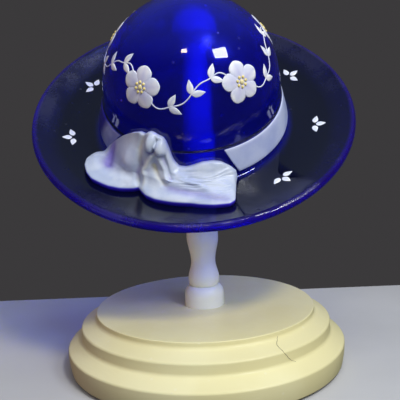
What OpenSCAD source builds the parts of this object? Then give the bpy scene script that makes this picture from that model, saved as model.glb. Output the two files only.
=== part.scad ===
// Glass hat with a moulded band and bow, resting tilted on a turned wooden stand.
// Millimetres, +Z up, the front faces -Y. The origin is the middle of the felt's underside.

/* [Base] */
// Radius of the base at its widest
base_r = 77.4; // [75:0.2:90]
// How far the side draws in at its foot
side_bulge = 1.2; // [0.4:0.1:2]
// Height above the table where the side rounds over to the lower ledge
side_top_z = 12.2; // [9:0.2:13]
// Radius of the middle step
step_r = 69.6; // [66:0.1:71]
// Height above the table where the middle step rounds over to the upper ledge
step_z = 23.4; // [22:0.2:25]
// Radius of the flat top
plate_r = 61; // [50:0.5:62]
// Height of the flat top above the table
plate_z = 31.6; // [30:0.2:40]
// Height of the middle step's upright wall
step_wall = 4; // [2:0.1:5]
// Height of the flat top's upright wall
plate_wall = 1.8; // [1:0.1:3]
// Radius of the hollow between each wall and its ledge
cove_r = 2.4; // [1.5:0.1:3]
// Rounding of the ledges' outer edges
edge_r = 1.5; // [0.8:0.1:2]

/* [Felt] */
// Radius of the felt disc under the base
felt_r = 72; // [50:1:74]
// Thickness of the felt disc
felt_t = 1.6; // [1:0.1:3]

/* [Spindle] */
// Radius of the ring at the spindle's foot
ring_r = 11.1; // [9.6:0.1:14]
// Height of the ring
ring_h = 11.5; // [8:0.5:13]
// Height of the ring's rounded shoulder
shoulder_h = 6; // [2:0.2:7]
// Radius of the groove between the ring and the bell
groove_r = 7.4; // [7:0.1:8.4]
// Largest radius of the bell above the groove
bell_r = 8.7; // [8.5:0.1:11]
// Height of the bell's rounded lower edge
bell_round = 3.4; // [2:0.2:5]
// Radius of the neck above the bell
neck_r = 6.8; // [5.5:0.1:7.8]
// Height of the neck above the bell's widest part
neck_rise = 10.2; // [6:0.2:14]
// Largest radius of the column
column_r = 8.8; // [7.2:0.1:11]
// Height of the column's thick end above the neck
column_rise = 14; // [9:0.5:24]
// Radius of the column where it starts to draw in under the knob
taper_r = 7.9; // [6.6:0.1:9]
// Radius of the waist under the knob
waist_r = 6.2; // [5:0.1:6.5]
// Height of the knob's centre above the table
knob_z = 183.5; // [165:0.5:210]
// Radius of the round knob on top
knob_r = 9.4; // [8:0.1:11]
// Distance from the knob's centre down to the waist
waist_drop = 15; // [13:0.5:18]
// Distance from the waist down to where the column starts to draw in
taper_drop = 18; // [12:0.5:30]
// Radius of the tenon that is glued into the base
tenon_r = 6.35; // [5.5:0.05:6.8]
// Length of the tenon
tenon_len = 15; // [10:0.5:17]

/* [Screw] */
// Radius of the screw's shank
screw_r = 2.1; // [1.6:0.1:2.5]
// Length of the screw under its head
screw_len = 32; // [24:1:40]
// Length of the screw's point
point_len = 4.2; // [2:0.2:8]
// Radius of the screw's head
head_r = 4; // [3.4:0.1:4.6]
// Height of the screw's head
head_h = 2.6; // [2:0.1:3.2]
// Length of the two slots that cross in the head
slot_len = 4.5; // [3:0.1:5.6]
// Width of the slots
slot_w = 1.1; // [0.8:0.1:1.6]
// Depth of the slots
slot_depth = 1.5; // [0.8:0.1:1.8]
// Radius of the counterbore under the base
counterbore_r = 6.5; // [5.4:0.1:9]
// Depth of the counterbore
counterbore_h = 6; // [4:0.5:7]

/* [Felt cap] */
// Thickness of the felt cap on the knob
cap_t = 2.4; // [1.5:0.1:4]
// How far the cap reaches below the knob's centre
cap_skirt = 2; // [0:0.5:4]

/* [Glass hat] */
// Outer radius of the domed crown
dome_r = 47.3; // [45:0.1:50]
// Wall of the domed crown, thicker than the rest where the plunger ends
dome_wall = 6; // [4.5:0.1:7]
// Outer radius at the foot of the crown's side
crown_base_r = 51.9; // [48:0.1:56]
// Height of the crown's side, from its foot to the dome's centre
side_h = 22.4; // [20:0.2:28]
// How late the crown's side flares towards its foot
side_curve = 1.6; // [1.2:0.1:2]
// Wall of the crown's side and of the brim
glass_t = 4.8; // [3.6:0.1:5.6]
// Inner radius of the bend between the side and the brim
root_round = 2.6; // [1.6:0.1:4]
// Radius of the brim
brim_r = 88.9; // [80:0.1:100]
// Height of the rim's middle below the dome's centre
rim_drop = 18.7; // [14:0.1:24]
// How late the brim turns up towards its rim
brim_curve = 2.2; // [1.6:0.1:3.5]
// Radius of the moulded rope round the crown
rope_r = 0.7; // [0.4:0.1:1]
// Height of the rope above the band
rope_rise = 1.2; // [1.1:0.1:2.4]

/* [Hat's pose] */
// How far the hat is tipped towards the front
hat_tilt = 37.6; // [30:0.1:42]
// How far the hat leans to the right
hat_lean = -0.8; // [-4:0.1:4]
// The dome's centre to the right of the spindle
hat_x = -2.6; // [-5:0.1:5]
// The dome's centre behind the spindle
hat_y = -3; // [-6:0.1:4]

/* [Band] */
// Height of the band's lower edge above the foot of the crown's side
band_foot = 1; // [0.4:0.1:3]
// Height of the band
band_h = 14; // [8:0.2:15]
// Thickness of the band
band_t = 1.3; // [0.5:0.1:2]
// Where the band starts at its top, right of the front
band_from = 17.5; // [17:0.5:40]
// How far the band's first end slopes away from the upright
band_slope = 26; // [20:1:40]

/* [Bow] */
// How far the knot's top edge lies up the glass from the middle of the bend
bow_h = 28.4; // [24:0.2:32]
// Thickness of the bow's ribbon
bow_t = 3.6; // [3:0.2:6]
// Thickness of the bow's edge
bow_edge = 2.2; // [1.5:0.1:3]
// How far the bow bridges the corner between the crown and the brim
bow_bridge = 1.6; // [0:0.2:4]
// Height of the knot
knot_h = 5; // [2:0.2:7]
// Depth of the hollow in the loop
loop_hollow = 2.6; // [0:0.2:3]
// Depth of the tuck between the loop and the tail
tuck_depth = 2; // [0:0.1:2.4]
// Height of the tail's folds
fold_h = 0.9; // [0:0.1:1.4]

/* [Clearances] */
// Gap round the glued tenon
glue_gap = 0.05; // [0.02:0.01:0.2]
// Gap round the screw where the base lets it through
screw_gap = 0.4; // [0.2:0.1:0.8]
// Gap round the screw where it is driven into the spindle
pilot_gap = 0.05; // [0.02:0.01:0.1]
// Gap between the knob and the felt cap
cap_gap = 0.3; // [0.2:0.05:0.6]
// Gap between the felt cap and the glass
seat_gap = 0.3; // [0.2:0.05:0.6]
// Gap between the glass and what is moulded on it
relief_gap = 0.06; // [0.05:0.01:0.2]
// Gap between the bow's edge and the ends of the band and the rope
bow_clear = 0.9; // [0.7:0.1:2]

/* [Hidden] */
$fn = 96;
past = 1;                                // how far a cut runs past the face it opens
arc_steps = 12;
brim_steps = 20;

// The screw's head hangs from the counterbore's ceiling
screw_z = felt_t + counterbore_h;

// The cap lies round the knob, and the dome's inside rests on the cap
cap_in_r = knob_r + cap_gap;
cap_out_r = cap_in_r + cap_t;
dome_in_r = dome_r - dome_wall;
seat_reach = dome_in_r - cap_out_r - seat_gap;
hat_z = knob_z - sqrt(seat_reach ^ 2 - hat_x ^ 2 - hat_y ^ 2);

// The bend starts at the lean that the crown's side has at its foot, round a centre at root_r and bend_h
side_lean = atan(side_curve * (crown_base_r - dome_r) / side_h);
root_r = crown_base_r + root_round * cos(side_lean);
bend_h = root_round * sin(side_lean) - side_h;
half_turn = (90 - side_lean) / 2;
half_bend = root_round * half_turn * PI / 180;   // length of half the bend, along the glass

// Middle line of the brim, from the bend to the rim
lip_r = glass_t / 2;
root_h = bend_h - root_round - lip_r;
brim_run = brim_r - lip_r - root_r;
brim_rise = -rim_drop - root_h;

// The band runs on the crown's side between these heights, and the rope above it
band_low_h = band_foot - side_h;
band_top_h = band_low_h + band_h;
rope_h = band_top_h + rope_rise;

// Outline of the bow on the glass: angle from the front, positive to the right, against the way along
// the glass from the middle of the bend, up the side positive, in hundredths of the bow's height.
bow_low = [[-62.5, -32], [-60.5, -46], [-57, -57], [-52, -66], [-47.5, -70], [-43.5, -67], [-39, -63],
           [-34.5, -55], [-29, -40], [-27.8, -34], [-25.8, -41], [-22.5, -50], [-18, -56], [-12, -58],
           [-3, -60], [6, -71], [12.5, -75], [15, -68], [17, -46], [20, -17], [22.5, -2]];
bow_high = [[-62.5, -17], [-62, 0], [-59, 20], [-53.5, 43], [-46, 67], [-38, 85], [-32.5, 93],
            [-29.3, 91], [-27.5, 97], [-25.5, 100], [-23.5, 99], [-21.8, 96], [-20, 94], [-18, 92],
            [-16.7, 85], [-15.6, 76], [-14.3, 62], [-12.5, 47], [-9.3, 36], [-5.5, 35], [-1.5, 38],
            [3.8, 43], [10, 43], [15, 38], [20, 25], [22.5, 13]];
bow_from = bow_low[0][0];
bow_to = bow_low[len(bow_low) - 1][0];
bow_cols = 60;
bow_rows = 18;

// Angles of the loop's top, of the knot's top and of the tail's lowest upper edge
loop_top = -38;
knot_top = -25.5;
tail_dip = -5.5;

// Swellings and hollows of the bow: angle and way of the middle, then half width and half height, with
// the angles in degrees and the ways in hundredths of the bow's height
knot_upper = [-24.2, 80, 3, 19];
knot_lower = [-18.4, 74, 3.6, 14];
loop_dip = [-43, 20, 8, 32];
tuck = [-29, 10, 1.8, 60];
knot_lower_share = 0.8;                  // height of the lower knot against the upper one
bridge_w = 31;                           // how far along the glass the bridge reaches, in hundredths
ribbon_crown = 0.45;                     // how soon the ribbon rises from its edges, less is sooner
end_crown = 0.35;                        // how soon it rises from its two ends
fold_turn = 9;                           // turn of the folds' wave for each degree round the hat
fold_slant = 0.25;                       // degrees that the folds shift for each hundredth of the way
tail_from = -27;                         // angle where the tail starts
loop_fold_share = 0.3;                   // height of the loop's folds against the tail's

// Inside its edges the ribbon's front follows the glass averaged over this way to each side, so that it
// runs smoothly over the bend
bow_ease = 12;
ease_steps = 8;

// The ribbon stands off the glass at this angle over the bend, and swings from the side's to the brim's
lean_mid = 50;
lean_swing = 40;
lean_reach = 10;

// A point of the glass's side, r and h in the hat's own frame with the dome's centre at the origin
function side_r(h) =
    h > 0 ? sqrt(dome_r ^ 2 - h ^ 2) : dome_r + (crown_base_r - dome_r) * pow(-h / side_h, side_curve);
function brim_mid(t) = [root_r + brim_run * t, root_h + brim_rise * pow(t, brim_curve)];
function brim_slope(t) = atan(brim_rise * brim_curve * pow(t, brim_curve - 1) / brim_run);
function brim_face(t, way) = brim_mid(t) + way * lip_r * [-sin(brim_slope(t)), cos(brim_slope(t))];
function bend_point(r, s) =
    let (a = side_lean + 2 * half_turn * s) [root_r - r * cos(a), bend_h - r * sin(a)];

// A step of the base: its rounded outer edge, then a ledge that rises to the hollow at the foot of the
// next wall. The ledge is the line that touches both circles, above the one and below the other.
function ledge(r_out, z_out, r_in, z_in) =
    let (run = r_out - edge_r - r_in - cove_r, rise = z_in - z_out,
         slope = atan2(rise, run) - asin((edge_r + cove_r) / norm([run, rise])))
    concat([for (i = [0:arc_steps]) let (a = (90 - slope) * i / arc_steps)
                [r_out - edge_r + edge_r * cos(a), z_out + edge_r * sin(a)]],
           [for (i = [0:arc_steps]) let (a = 270 - slope - (90 - slope) * i / arc_steps)
                [r_in + cove_r + cove_r * cos(a), z_in + cove_r * sin(a)]]);

// The side between the felt and the lower ledge
function base_side() =
    [for (i = [0:arc_steps - 1]) let (s = i / arc_steps)
        [base_r - side_bulge * (1 - s) ^ 2, felt_t + (side_top_z - felt_t) * s]];

function base_outline() = concat(
    [[0, felt_t]],
    base_side(),
    ledge(base_r, side_top_z, step_r, step_z - step_wall),
    ledge(step_r, step_z, plate_r, plate_z - plate_wall),
    [[plate_r, plate_z], [0, plate_z]]);

// A turned line between two radii that starts and ends upright
function turned(z0, r0, z1, r1) =
    [for (i = [0:arc_steps]) let (s = i / arc_steps)
        [r0 + (r1 - r0) * (1 - cos(180 * s)) / 2, z0 + (z1 - z0) * s]];

// The ring's shoulder up to the groove, and the bell's lower edge above it
function ring_shoulder(z) =
    [for (i = [0:arc_steps]) let (a = 90 * i / arc_steps)
        [groove_r + (ring_r - groove_r) * cos(a), z - shoulder_h * (1 - sin(a))]];
function bell_edge(z) =
    [for (i = [1:arc_steps]) let (a = 90 * i / arc_steps)
        [groove_r + (bell_r - groove_r) * sin(a), z + bell_round * (1 - cos(a))]];

function spindle_outline() =
    let (groove_z = plate_z + ring_h, bell_z = groove_z + bell_round, neck_z = bell_z + neck_rise,
         column_z = neck_z + column_rise, waist_z = knob_z - waist_drop, taper_z = waist_z - taper_drop)
    concat([[0, plate_z], [ring_r, plate_z]],
           ring_shoulder(groove_z),
           bell_edge(groove_z),
           turned(bell_z, bell_r, neck_z, neck_r),
           turned(neck_z, neck_r, column_z, column_r),
           turned(column_z, column_r, taper_z, taper_r),
           turned(taper_z, taper_r, waist_z, waist_r),
           [[waist_r, knob_z], [0, knob_z]]);

// The glass from the dome's rim down the side, out to the brim's lip and back underneath
function glass_outline() = concat(
    [for (i = [0:arc_steps - 1]) let (h = -side_h * i / arc_steps) [side_r(h), h]],
    [for (i = [0:arc_steps]) bend_point(root_round, i / arc_steps)],
    [for (i = [1:brim_steps]) brim_face(i / brim_steps, 1)],
    [for (i = [1:2 * arc_steps - 1]) let (a = 90 + brim_slope(1) - 90 * i / arc_steps)
        brim_mid(1) + lip_r * [cos(a), sin(a)]],
    [for (i = [brim_steps:-1:1]) brim_face(i / brim_steps, -1)],
    [for (i = [arc_steps:-1:0]) bend_point(root_round + glass_t, i / arc_steps)],
    [[dome_in_r, 0]]);

// The way along the glass at a height on the side, in hundredths of the bow's height
function way_at(h) = 100 * (h + side_h + half_bend) / bow_h;

// The glass at s mm from the middle of the bend
function bow_seat(s) =
    s > half_bend ? let (h = s - half_bend - side_h) [side_r(h), h]
    : s < -half_bend ? brim_face((-s - half_bend) / brim_run, 1)
    : bend_point(root_round, (1 - s / half_bend) / 2);

function eased_seat(s) =
    [for (k = [-ease_steps:ease_steps]) 1 / (2 * ease_steps + 1)]
    * [for (k = [-ease_steps:ease_steps]) bow_seat(s + bow_ease * k / ease_steps)];

// The way the ribbon stands off the glass, square to the brim outside and to the side above
function bow_lean(s) =
    let (a = lean_mid - lean_swing * s / sqrt(s ^ 2 + lean_reach ^ 2))
    [cos(a), sin(a)];

// A smooth hill of height 1, with at = [angle, way, half width, half height]
function bump(a, way, at) = exp(-((a - at[0]) / at[2]) ^ 2 - ((way - at[1]) / at[3]) ^ 2);

function bow_folds(a, way) =
    fold_h * sin(fold_turn * (a + fold_slant * way)) * (a > tail_from ? 1 : loop_fold_share);

// How far the bow stands over its edge's thickness at an angle and a way, well inside its edges
function bow_swell(a, way) =
    bow_t
    + bow_bridge * exp(-(way / bridge_w) ^ 2)
    + knot_h * (bump(a, way, knot_upper) + knot_lower_share * bump(a, way, knot_lower))
    - loop_hollow * bump(a, way, loop_dip)
    - tuck_depth * bump(a, way, tuck)
    + bow_folds(a, way);

// A point at angle a round the hat, with rh = [r, h]
function on_hat(a, rh) = [rh[0] * sin(a), -rh[0] * cos(a), rh[1]];

// A point of the bow's back or of its raised front
function bow_point(i, j, raised) =
    let (a = bow_from + (bow_to - bow_from) * i / bow_cols,
         e = j / bow_rows,
         way = lookup(a, bow_low) * (1 - e) + lookup(a, bow_high) * e,
         s = way * bow_h / 100,
         inside = raised ? pow(sin(180 * e), ribbon_crown) * pow(sin(180 * i / bow_cols), end_crown) : 0,
         height = raised ? bow_edge + inside * bow_swell(a, way) : 0)
    on_hat(a, bow_seat(s) + inside * (eased_seat(s) - bow_seat(s)) + bow_lean(s) * (relief_gap + height));

// Angles just clear of the bow at a height on the side, left of its loop and right of its knot
clear_angle = bow_clear / crown_base_r * 180 / PI;
function left_of_bow(h) =
    lookup(way_at(h), [for (p = bow_high) if (p[0] <= loop_top) [p[1], p[0]]]) - clear_angle;
function right_of_bow(h) =
    lookup(way_at(h), [for (p = bow_high) if (p[0] >= knot_top && p[0] <= tail_dip) [p[1], p[0]]])
    + clear_angle;

// The band's second end is straight, clear of the loop that swells between the band's two edges
band_to_turn = left_of_bow(band_top_h) - left_of_bow(band_low_h);
band_to = left_of_bow(band_top_h)
    - max([for (i = [0:arc_steps]) let (s = i / arc_steps)
        left_of_bow(band_top_h) - band_to_turn * s - left_of_bow(band_top_h - band_h * s)]);
band_to_slope = atan(band_to_turn * PI / 180 * crown_base_r / band_h);

// The rope stops at the loop and at the knot
rope_from = right_of_bow(rope_h);
rope_to = left_of_bow(rope_h);

// A closed skin over two grids of cols by rows cells, front and back, joined round the edge
module grid_solid(front, back, cols, rows) {
    width = rows + 1;
    count = (cols + 1) * width;
    function at(i, j) = i * width + j;
    quads = concat(
        [for (i = [0:cols - 1], j = [0:rows - 1]) [at(i, j), at(i, j + 1), at(i + 1, j + 1), at(i + 1, j)]],
        [for (i = [0:cols - 1], j = [0:rows - 1])
            [for (k = [at(i, j), at(i + 1, j), at(i + 1, j + 1), at(i, j + 1)]) count + k]],
        [for (i = [0:cols - 1]) [at(i, 0), at(i + 1, 0), count + at(i + 1, 0), count + at(i, 0)]],
        [for (i = [0:cols - 1])
            [at(i, rows), count + at(i, rows), count + at(i + 1, rows), at(i + 1, rows)]],
        [for (j = [0:rows - 1]) [at(0, j), count + at(0, j), count + at(0, j + 1), at(0, j + 1)]],
        [for (j = [0:rows - 1])
            [at(cols, j), at(cols, j + 1), count + at(cols, j + 1), count + at(cols, j)]]);
    polyhedron(concat(front, back), [for (q = quads, t = [[0, 1, 2], [0, 2, 3]]) [for (k = t) q[k]]]);
}

// Puts what is drawn round the hat's own axis into its tipped place on the stand
module in_hat() {
    translate([hat_x, hat_y, hat_z]) rotate([hat_tilt, hat_lean, 0]) children();
}

// Carries an outline round the hat's axis from one angle, left or right of the front, to another
module round_hat(from, to) {
    rotate(from - 90) rotate_extrude(angle = to - from) children();
}

// Ring between two radii, cut off below a height
module upper_ring(r_out, r_in, low) {
    intersection() {
        difference() {
            circle(r_out);
            circle(r_in);
        }
        translate([0, low]) square([r_out + past, r_out - low + past]);
    }
}

// What a slanted end takes off the band: the end is at angle a on the band's top edge, side is 1 for
// the end right of the front and -1 for the end left of it, and the lower corner lies further out
module band_end(a, slope, side) {
    rotate(a) translate([0, -crown_base_r, band_top_h]) rotate([0, -side * slope, 0])
        translate([-band_h * (1 + side) / 2, -crown_base_r / 2, -2 * band_h])
            cube([band_h, crown_base_r, 2 * band_h + past]);
}

module base() {
    color("#e8dfb8") difference() {
        rotate_extrude() polygon(base_outline());
        translate([0, 0, plate_z - tenon_len]) cylinder(r = tenon_r + glue_gap, h = tenon_len + past);
        translate([0, 0, felt_t - past]) cylinder(r = counterbore_r, h = counterbore_h + past);
        translate([0, 0, felt_t]) cylinder(r = screw_r + screw_gap, h = plate_z - felt_t);
    }
}

module base_felt() {
    color("#3c4a3a") cylinder(r = felt_r, h = felt_t);
}

module spindle() {
    color("#dcd8c8") difference() {
        union() {
            rotate_extrude() union() {
                polygon(spindle_outline());
                intersection() {
                    translate([0, knob_z]) circle(knob_r);
                    translate([0, knob_z - knob_r]) square(2 * knob_r);
                }
            }
            translate([0, 0, plate_z - tenon_len + glue_gap]) cylinder(r = tenon_r, h = tenon_len);
        }
        translate([0, 0, plate_z - tenon_len])
            cylinder(r = screw_r + pilot_gap, h = screw_z + screw_len + past - plate_z + tenon_len);
    }
}

module spindle_screw() {
    color("#b8a25a") difference() {
        translate([0, 0, screw_z]) rotate_extrude()
            polygon([[0, -head_h], [head_r, -head_h], [head_r, 0], [screw_r, 0],
                     [screw_r, screw_len - point_len], [0, screw_len]]);
        for (a = [0, 90]) translate([0, 0, screw_z - head_h]) rotate(a)
            cube([slot_len, slot_w, 2 * slot_depth], center = true);
    }
}

module felt_cap() {
    color("#ddd8ca") translate([0, 0, knob_z])
        rotate_extrude() upper_ring(cap_out_r, cap_in_r, -cap_skirt);
}

module glass_hat() {
    color("#1a22c8", 0.7) in_hat() union() {
        rotate_extrude() upper_ring(dome_r, dome_in_r, 0);
        rotate_extrude() polygon(glass_outline());
        round_hat(rope_from, 360 + rope_to) translate([side_r(rope_h), rope_h]) circle(rope_r);
    }
}

module hat_band() {
    face = [for (i = [0:arc_steps]) let (h = band_low_h + band_h * i / arc_steps)
        [side_r(h) + relief_gap, h]];
    color("#cfd0ec") in_hat() difference() {
        round_hat(band_from, 360 + band_to)
            polygon(concat([for (p = face) p + [band_t, 0]], [for (i = [arc_steps:-1:0]) face[i]]));
        band_end(band_from, band_slope, 1);
        band_end(band_to, band_to_slope, -1);
    }
}

module bow() {
    color("#e6e8f2") in_hat()
        grid_solid([for (i = [0:bow_cols], j = [0:bow_rows]) bow_point(i, j, true)],
                   [for (i = [0:bow_cols], j = [0:bow_rows]) bow_point(i, j, false)], bow_cols, bow_rows);
}

base();
base_felt();
spindle();
spindle_screw();
felt_cap();
glass_hat();
hat_band();
bow();
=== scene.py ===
"""Glass hat with a moulded band and bow, tipped on a painted stand: shapes, finishes and studio.

Sizes are in millimetres until a mesh is made, and angles are in degrees from the front, positive to
the right. The hat's own frame has the dome's centre at its origin and the hat's axis along h.
"""
import math

import bpy
import numpy as np
from mathutils import Matrix, Vector


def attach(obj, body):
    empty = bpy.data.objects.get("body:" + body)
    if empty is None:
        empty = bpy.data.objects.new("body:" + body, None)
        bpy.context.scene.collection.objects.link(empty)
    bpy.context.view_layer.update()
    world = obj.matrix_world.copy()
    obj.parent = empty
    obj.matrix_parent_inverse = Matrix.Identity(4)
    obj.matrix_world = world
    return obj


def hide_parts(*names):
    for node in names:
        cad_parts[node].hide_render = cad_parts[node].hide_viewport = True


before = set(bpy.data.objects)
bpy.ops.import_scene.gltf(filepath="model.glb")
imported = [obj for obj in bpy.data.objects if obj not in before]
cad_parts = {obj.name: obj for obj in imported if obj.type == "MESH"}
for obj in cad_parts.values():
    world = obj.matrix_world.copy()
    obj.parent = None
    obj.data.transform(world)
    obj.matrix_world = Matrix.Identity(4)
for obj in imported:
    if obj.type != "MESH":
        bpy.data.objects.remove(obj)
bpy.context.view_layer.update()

MM = 0.001

# Turned base
BASE_R, SIDE_BULGE, SIDE_TOP_Z = 77.4, 1.2, 12.2
STEP_R, STEP_Z, STEP_WALL = 69.6, 23.4, 4.0
PLATE_R, PLATE_Z, PLATE_WALL = 61.0, 31.6, 1.8
COVE_R, EDGE_R, PLATE_EDGE_R = 2.4, 1.5, 0.5
FELT_T, FOOT_EDGE = 1.6, 0.2

# Turned spindle
RING_R, RING_H, SHOULDER_H = 11.1, 11.5, 6.0
GROOVE_R, BELL_R, BELL_ROUND = 7.4, 8.7, 3.4
NECK_R, NECK_RISE = 6.8, 10.2
COLUMN_R, COLUMN_RISE = 8.8, 14.0
TAPER_R, TAPER_DROP = 7.9, 18.0
WAIST_R, WAIST_DROP = 6.2, 15.0
KNOB_Z, KNOB_R = 183.5, 9.4
FOOT_SUNK, FOOT_EDGE_IN = 1.0, 0.4
CAP_OUT_R, SEAT_GAP = 12.1, 0.3

# Glass hat
DOME_R, DOME_IN_R = 47.3, 41.3
CROWN_BASE_R, SIDE_H, SIDE_CURVE = 51.9, 22.4, 1.6
GLASS_T, ROOT_ROUND = 4.8, 2.6
BRIM_R, RIM_DROP, BRIM_CURVE = 88.9, 18.7, 2.2
HAT_TILT, HAT_LEAN = 37.6, -0.8
HAT_X, HAT_Y = -2.6, -3.0
LIP_R = GLASS_T / 2
SIDE_LEAN = math.degrees(math.atan(SIDE_CURVE * (CROWN_BASE_R - DOME_R) / SIDE_H))
ROOT_R = CROWN_BASE_R + ROOT_ROUND * math.cos(math.radians(SIDE_LEAN))
BEND_H = ROOT_ROUND * math.sin(math.radians(SIDE_LEAN)) - SIDE_H
HALF_TURN = (90 - SIDE_LEAN) / 2
HALF_BEND = ROOT_ROUND * math.radians(HALF_TURN)
ROOT_H = BEND_H - ROOT_ROUND - LIP_R
BRIM_RUN = BRIM_R - LIP_R - ROOT_R
BRIM_RISE = -RIM_DROP - ROOT_H

# Where the glass is tinted and dulled: painted shade over the brim, painted light at the lip, a dull rim and
# inside; widths and blends in millimetres, and steps along its profile from the outermost point
CROWN_BLEND = 4.0
RIM_WIDTH, RIM_BLEND = 17.0, 9.0
LIP_WIDTH, LIP_BLEND = 14.0, 8.0
LIP_STEPS, LIP_STEP_BLEND = 13, 5
INSIDE_STEPS, INSIDE_STEP_BLEND = 8, 4

# Band and rope
BAND_LOW_H, BAND_H, BAND_T = 1.0 - SIDE_H, 14.0, 1.3
BAND_TOP_H = BAND_LOW_H + BAND_H
BAND_FROM_TOP, BAND_FROM_LOW = 17.5, 25.0
BAND_TO_TOP, BAND_TO_LOW = 309.3, 297.3
BAND_SQUARE, BAND_FLAT = 0.35, 0.7
BAND_SINK, BAND_CROWN, BAND_EDGE = 0.1, 0.25, 1 / 9
# Painted shade on the band: its enamel goes over to deep blue from the first angle round the back and the
# left side, half so past the last angle.
DEEP_FROM, DEEP_BLEND = 105.0, 14.0
DEEP_TO, DEEP_END_BLEND, DEEP_SLANT = 296.0, 6.0, 8.0
ROPE_H, ROPE_R = BAND_TOP_H + 1.2, 0.7
ROPE_FROM, ROPE_TO = -13.4, 311.7
ROPE_STRANDS = 300
ROPE_THIN, ROPE_SWELL, ROPE_TWIST = 0.86, 0.2, 0.5

# Bow: outline as angle against the way along the glass from the middle of the bend, up the side positive,
# in hundredths of the bow's height, which are turned into millimetres here
BOW_H = 28.4
BOW_LOW = [1, BOW_H / 100] * np.array(
    [[-62.5, -32], [-60.5, -46], [-57, -57], [-52, -66], [-47.5, -70], [-43.5, -67], [-39, -63], [-34.5, -55],
     [-29, -40], [-27.8, -34], [-25.8, -41], [-22.5, -50], [-18, -56], [-12, -58], [-3, -60], [6, -71],
     [12.5, -75], [15, -68], [17, -46], [20, -17], [22.5, -2]])
BOW_HIGH = [1, BOW_H / 100] * np.array(
    [[-62.5, -17], [-62, 0], [-59, 20], [-53.5, 43], [-46, 67], [-38, 85], [-32.5, 93], [-29.3, 91],
     [-27.5, 97], [-25.5, 100], [-23.5, 99], [-21.8, 96], [-20, 94], [-18, 92], [-16.7, 85], [-15.6, 76],
     [-14.3, 62], [-12.5, 47], [-9.3, 36], [-5.5, 35], [-1.5, 38], [3.8, 43], [10, 43], [15, 38], [20, 25],
     [22.5, 13]])
BOW_T, BOW_EDGE, BOW_BRIDGE, BRIDGE_W = 3.6, 2.2, 1.6, 8.8
BOW_EASE, EASE_STEPS, BOW_SINK = 12.0, 25, 0.15
BOW_COLS, BOW_ROWS = 340, 120
BOW_BARE = 2 / BOW_ROWS
DEGREE_WAY = 0.95
LEAN_MID, LEAN_SWING, LEAN_WAY = 50.0, 40.0, 10.0
EDGE_FALL, END_FALL, LOOP_FALL = 0.45, 0.35, 0.45
LOOP_TO, LOOP_FALL_BLEND, LOOP_WAVE_BLEND = -30.0, 4.0, 6.0
TAIL_FROM, TAIL_BLEND = -10.0, 8.0
LOW_ROUNDS, HIGH_ROUNDS, RELIEF_ROUNDS, BROAD_ROUNDS = 6, 12, 3, 120

# Creases and ridges of the bow, as angle and way of their corners
LOOP_STREAK = ((-53, 10), (-50.5, 4), (-48, -5))
LOOP_RIM = ((-59, -8), (-52, -13), (-43, -13.5), (-34, -9.5))
TUCK = ((-29.4, 26), (-30.8, 18), (-29, 10), (-30, 1), (-28.2, -8))
FOLD_A = ((-22.8, 16.5), (-27, 7), (-25, -11))
FOLD_VALLEY = ((-21.8, 11.5), (-18.5, 3), (-15, -6))
FOLD_B = ((-20.2, 17), (-15.6, 9.5), (-13.4, -1))
FOLD_GAP = ((-16.6, 15.5), (-12.6, 2.5))
FOLD_C = ((-15, 20), (-12, 8.5), (-6, 5.5))
TAIL_RIDGE = ((-9, 5), (0, -4), (10, -15.5))
TAIL_END = ((18.5, 7.5), (19.5, 0), (15.5, -15))
TAIL_FACET = ((-12, -8), (0, -11.5), (11, -17.5))

# Relief of the bow: rise, then angle, way and half widths of a knot or hill, or width and corners of a path
KNOTS = ((4.2, -24.4, 23.2, 3.0, 4.8), (4.2, -18.5, 21.4, 3.7, 4.0))
KNOT_GROOVE, KNOT_GROOVE_AT, KNOT_GROOVE_W = 0.22, 1.1, 0.16
HILLS = ((3.8, -38, 11, 9, 8), (-0.8, -46, 6, 7, 9))
PATHS = ((0.9, 2.6, LOOP_RIM), (-1.5, 2.2, LOOP_STREAK), (-1.7, 1.8, TUCK),
         (1.2, 1.6, FOLD_A), (1.1, 1.3, FOLD_B), (0.9, 1.4, FOLD_C),
         (-0.8, 1.5, FOLD_VALLEY), (-1.2, 1.2, FOLD_GAP),
         (0.9, 1.8, TAIL_RIDGE), (0.7, 1.6, TAIL_END), (-0.6, 3.0, TAIL_FACET))

# Ripples of the bow: height, and growth of the phase for a degree and for a millimetre. A streak and the
# loop's ripple come after how much they wander, and a streak goes with the ripple that it fades by.
WANDER = ((1.6, 0.17, 0.11), (0.9, 0.41, -0.23))
STREAKS = ((1.0, (0.28, 0.10, 1.25), (0.4, 0.37, 0.5)), (1.7, (0.18, -0.07, 2.7), (0.5, 0.23, -0.4)))
LOOP_WANDER, LOOP_RIPPLE = 0.8, (0.12, 0.55, 0.16)

# Painted shade and highlight on the bow's enamel: shares of painted shade in hollows, and of painted cream
# glints in creases
DIP_FULL, DIP_FROM, DIP_BLEND = 0.8, 0.7, 0.25
SHADE_ALL, SHADE_DIP, SHADE_LOOP = 0.1, 0.8, (0.25, -41, 7, 11, 13)
SHADE_PATHS = ((0.8, 4.0, LOOP_STREAK), (0.4, 3.0, TAIL_FACET))
GLINT_PATHS = ((1.0, 1.3, FOLD_VALLEY), (0.5, 1.2, TUCK), (0.4, 1.0, FOLD_A))

hat_z = KNOB_Z - math.sqrt((DOME_IN_R - CAP_OUT_R - SEAT_GAP) ** 2 - HAT_X ** 2 - HAT_Y ** 2)
hat_turn = np.array(Matrix.Rotation(math.radians(HAT_LEAN), 3, "Y")
                    @ Matrix.Rotation(math.radians(HAT_TILT), 3, "X"))


def in_hat(points):
    """Hat's own frame to the row frame: tip about X, lean about Y, then move to the dome's centre."""
    return points @ hat_turn.T + np.array([HAT_X, HAT_Y, hat_z])


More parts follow.
